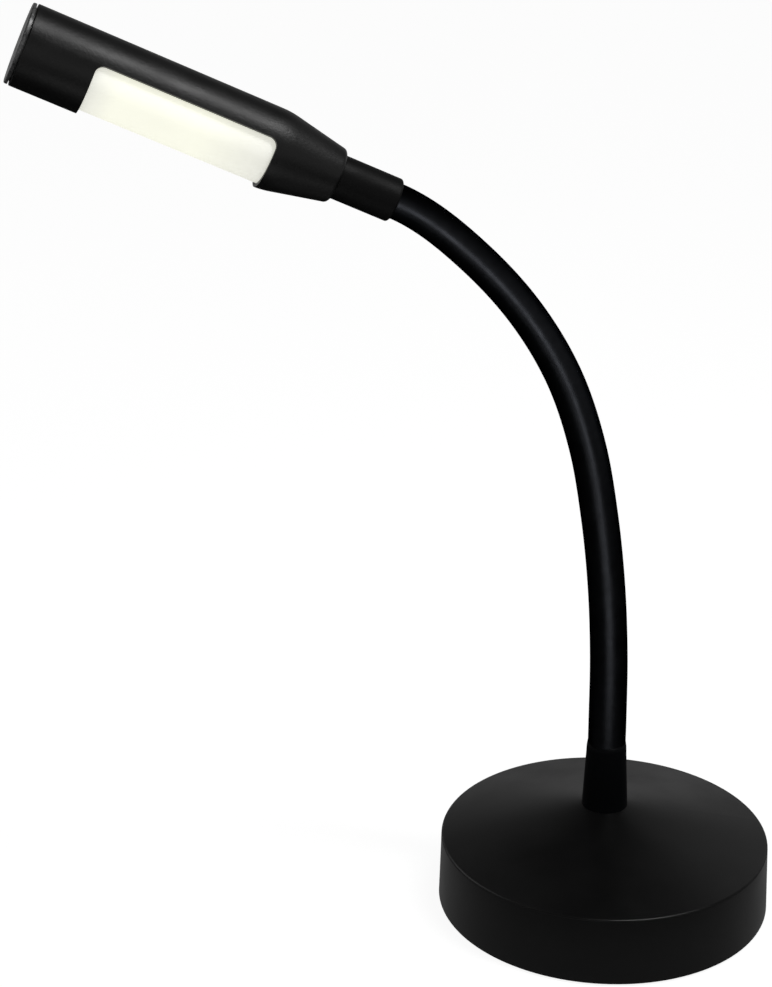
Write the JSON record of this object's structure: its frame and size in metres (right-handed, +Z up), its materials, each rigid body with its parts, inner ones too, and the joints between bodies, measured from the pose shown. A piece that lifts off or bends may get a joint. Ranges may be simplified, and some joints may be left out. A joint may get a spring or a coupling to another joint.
{
  "type": "gooseneck desk lamp",
  "caption": "Black LED desk lamp with a weighted round base, a bendable gooseneck and a tubular head that swivels and carries a push switch in its end.",
  "frame": {"origin": "middle of the round base, on the table top it stands on", "axes": "+Z up, -X the way the neck leans and the head reaches, -Y the side that the light is turned to"},
  "size_m": [0.2717, 0.127, 0.3462],
  "materials": {
    "base_black": "satin black moulding, crisp upper edge",
    "weight_iron": "bare casting",
    "plate_black": "plain black plastic",
    "pad_rubber": "soft matt foam rubber",
    "steel": "zinc plated",
    "brass": "turned brass",
    "jack_black": "moulded black plastic",
    "board_green": "circuit board lacquer",
    "component_grey": "electronic components",
    "lead_black": "PVC insulation",
    "sleeve_black": "smooth black silicone",
    "core_steel": "spiral-wound spring steel",
    "ferrule_black": "black anodised, matt",
    "head_black": "black anodised, fine satin grain",
    "diffuser_white": "frosted opal, lit warm white",
    "sink_aluminium": "extruded, bare",
    "board_white": "white solder mask",
    "led_yellow": "phosphor",
    "holder_black": "moulded black plastic",
    "button_metal": "brushed, dark grey",
    "plunger_white": "moulded white plastic"
  },
  "bodies": {
    "base": {"base_cover": "base_black", "base_weight": "weight_iron", "base_plate": "plate_black", "foot_pad": "pad_rubber", "plate_screws": "steel", "weight_screws": "steel", "neck_nipple": "brass", "nipple_washer": "steel", "nipple_nut": "steel", "base_collar": "base_black", "power_jack": "jack_black", "jack_pin": "brass", "driver_board": "board_green", "driver_parts": "component_grey", "base_lead": "lead_black", "neck_sleeve_0": "sleeve_black", "neck_core_0": "core_steel", "neck_lead_0": "lead_black"},
    "neck_1": {"neck_sleeve_1": "sleeve_black", "neck_core_1": "core_steel", "neck_lead_1": "lead_black"},
    "neck_2": {"neck_sleeve_2": "sleeve_black", "neck_core_2": "core_steel", "neck_lead_2": "lead_black"},
    "neck_3": {"neck_sleeve_3": "sleeve_black", "neck_core_3": "core_steel", "neck_lead_3": "lead_black"},
    "neck_4": {"neck_sleeve_4": "sleeve_black", "neck_core_4": "core_steel", "neck_lead_4": "lead_black"},
    "neck_5": {"neck_sleeve_5": "sleeve_black", "neck_core_5": "core_steel", "neck_lead_5": "lead_black"},
    "neck_6": {"neck_sleeve_6": "sleeve_black", "neck_core_6": "core_steel", "neck_lead_6": "lead_black"},
    "neck_7": {"neck_sleeve_7": "sleeve_black", "neck_core_7": "core_steel", "neck_lead_7": "lead_black"},
    "neck_8": {"neck_sleeve_8": "sleeve_black", "neck_core_8": "core_steel", "neck_lead_8": "lead_black"},
    "neck_9": {"neck_sleeve_9": "sleeve_black", "neck_core_9": "core_steel", "neck_lead_9": "lead_black", "head_ferrule": "ferrule_black", "swivel_stem": "brass", "swivel_washer": "steel", "swivel_nut": "steel"},
    "head": {"head_housing": "head_black", "diffuser": "diffuser_white", "heat_sink": "sink_aluminium", "led_board": "board_white", "leds": "led_yellow", "board_screws": "steel", "head_lead": "lead_black", "switch_holder": "holder_black", "switch_body": "jack_black"},
    "button": {"push_button": "button_metal", "switch_plunger": "plunger_white"}
  },
  "joints": [
    {"name": "neck_bend_lower", "type": "hinge", "parent": "base", "child": "neck_1", "pos_m": [0, 0, 0.0745], "axis": [0, -1, 0], "range_deg": [-10, 12]},
    {"name": "neck_sway", "type": "hinge", "parent": "neck_1", "child": "neck_2", "pos_m": [-0.00039, 0, 0.1026], "axis": [0.9996, 0, 0.0279], "range_deg": [-10, 10]},
    {"name": "neck_bend_lower_2", "type": "hinge", "parent": "neck_2", "child": "neck_3", "pos_m": [-0.0022, 0, 0.13063], "axis": [0, -1, 0], "range_deg": [-10, 12]},
    {"name": "neck_bend_lower_3", "type": "hinge", "parent": "neck_3", "child": "neck_4", "pos_m": [-0.0057, 0, 0.15851], "axis": [0, -1, 0], "range_deg": [-10, 12]},
    {"name": "neck_sway_2", "type": "hinge", "parent": "neck_4", "child": "neck_5", "pos_m": [-0.01113, 0, 0.18607], "axis": [0.9711, 0, 0.2385], "range_deg": [-10, 10]},
    {"name": "neck_bend_upper", "type": "hinge", "parent": "neck_5", "child": "neck_6", "pos_m": [-0.02041, 0, 0.21255], "axis": [0, -1, 0], "range_deg": [-18, 14]},
    {"name": "neck_bend_upper_2", "type": "hinge", "parent": "neck_6", "child": "neck_7", "pos_m": [-0.03477, 0, 0.23664], "axis": [0, -1, 0], "range_deg": [-18, 14]},
    {"name": "neck_sway_3", "type": "hinge", "parent": "neck_7", "child": "neck_8", "pos_m": [-0.05342, 0, 0.25761], "axis": [0.6884, 0, 0.7254], "range_deg": [-10, 10]},
    {"name": "neck_bend_upper_3", "type": "hinge", "parent": "neck_8", "child": "neck_9", "pos_m": [-0.07521, 0, 0.27532], "axis": [0, -1, 0], "range_deg": [-18, 14]},
    {"name": "head_swivel", "type": "hinge", "parent": "neck_9", "child": "head", "pos_m": [-0.08066, 0, 0.27783], "axis": [-0.9085, 0, 0.4179], "range_deg": [-113, 67]},
    {"name": "button_press", "type": "slide", "parent": "head", "child": "button", "axis": [0.9085, 0, -0.4179], "range_m": [0, 0.0004], "stiffness_N_per_m": 1000, "springref_m": -0.0015}
  ],
  "couplings": [
    {"joint": "neck_bend_lower_2", "follows": "neck_bend_lower", "ratio": 1},
    {"joint": "neck_bend_lower_3", "follows": "neck_bend_lower", "ratio": 1},
    {"joint": "neck_bend_upper_2", "follows": "neck_bend_upper", "ratio": 1},
    {"joint": "neck_bend_upper_3", "follows": "neck_bend_upper", "ratio": 1},
    {"joint": "neck_sway_2", "follows": "neck_sway", "ratio": 1},
    {"joint": "neck_sway_3", "follows": "neck_sway", "ratio": 1}
  ]
}
